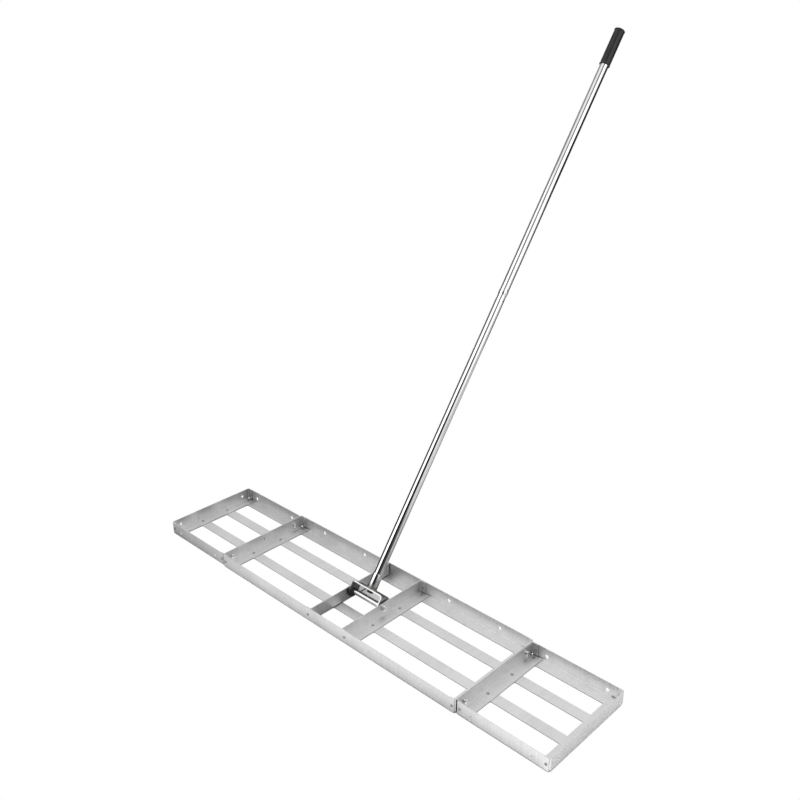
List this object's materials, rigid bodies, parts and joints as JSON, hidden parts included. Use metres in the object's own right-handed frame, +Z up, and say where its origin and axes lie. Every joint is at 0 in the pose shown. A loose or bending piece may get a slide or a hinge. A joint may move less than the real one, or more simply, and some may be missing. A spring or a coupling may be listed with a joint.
{
  "type": "lawn levelling rake",
  "caption": "Wide flat levelling rake: a riveted frame of folded stainless strip in bolted sections, with a tilting two-piece tubular pole and a rubber grip.",
  "frame": {"origin": "on the ground under the middle of the head", "axes": "+X along the head to the right, +Y from its front rail to its rear rail, which the pole leans over at rest, +Z up"},
  "size_m": [1.2192, 1.038, 1.2365],
  "materials": {
    "brushed_sheet": "brushed across the strip",
    "rivet_steel": "dull",
    "fastener_steel": "bright zinc",
    "yoke_steel": "brushed, heat tinted at the weld",
    "chromed_tube": "polished",
    "rubber_grip": "matt, fine diagonal hatch"
  },
  "bodies": {
    "head": {"centre_front_rail": "brushed_sheet", "centre_front_slat": "brushed_sheet", "centre_rear_rail": "brushed_sheet", "centre_rear_slat": "brushed_sheet", "left_wing_front_rail": "brushed_sheet", "left_wing_front_slat": "brushed_sheet", "left_wing_rear_rail": "brushed_sheet", "left_wing_rear_slat": "brushed_sheet", "right_wing_front_rail": "brushed_sheet", "right_wing_front_slat": "brushed_sheet", "right_wing_rear_rail": "brushed_sheet", "right_wing_rear_slat": "brushed_sheet", "centre_left_end_bar": "brushed_sheet", "centre_right_end_bar": "brushed_sheet", "left_pivot_bar": "brushed_sheet", "right_pivot_bar": "brushed_sheet", "left_wing_inner_bar": "brushed_sheet", "left_wing_outer_bar": "brushed_sheet", "right_wing_inner_bar": "brushed_sheet", "right_wing_outer_bar": "brushed_sheet", "centre_tab_rivets": "rivet_steel", "centre_corner_rivets": "rivet_steel", "centre_slat_rivets": "rivet_steel", "left_wing_tab_rivets": "rivet_steel", "left_wing_corner_rivets": "rivet_steel", "left_wing_slat_rivets": "rivet_steel", "right_wing_tab_rivets": "rivet_steel", "right_wing_corner_rivets": "rivet_steel", "right_wing_slat_rivets": "rivet_steel", "left_joint_bolts": "fastener_steel", "left_joint_washers": "fastener_steel", "left_joint_nuts": "fastener_steel", "right_joint_bolts": "fastener_steel", "right_joint_washers": "fastener_steel", "right_joint_nuts": "fastener_steel", "axle_bolt": "fastener_steel", "axle_nut": "fastener_steel", "axle_outer_washers": "fastener_steel", "axle_spacer_washers": "fastener_steel"},
    "handle": {"yoke_bracket": "yoke_steel", "axle_sleeve": "yoke_steel", "handle_socket": "yoke_steel", "socket_weld": "yoke_steel", "socket_bolt": "fastener_steel", "socket_washer": "fastener_steel", "lower_insert": "fastener_steel", "pole_stud": "fastener_steel", "upper_insert": "fastener_steel", "lower_tube": "chromed_tube", "upper_tube": "chromed_tube", "handle_grip": "rubber_grip"}
  },
  "joints": [
    {"name": "handle_tilt", "type": "hinge", "parent": "head", "child": "handle", "pos_m": [0, 0, 0.022], "axis": [1, 0, 0], "range_deg": [-42, 115]}
  ]
}
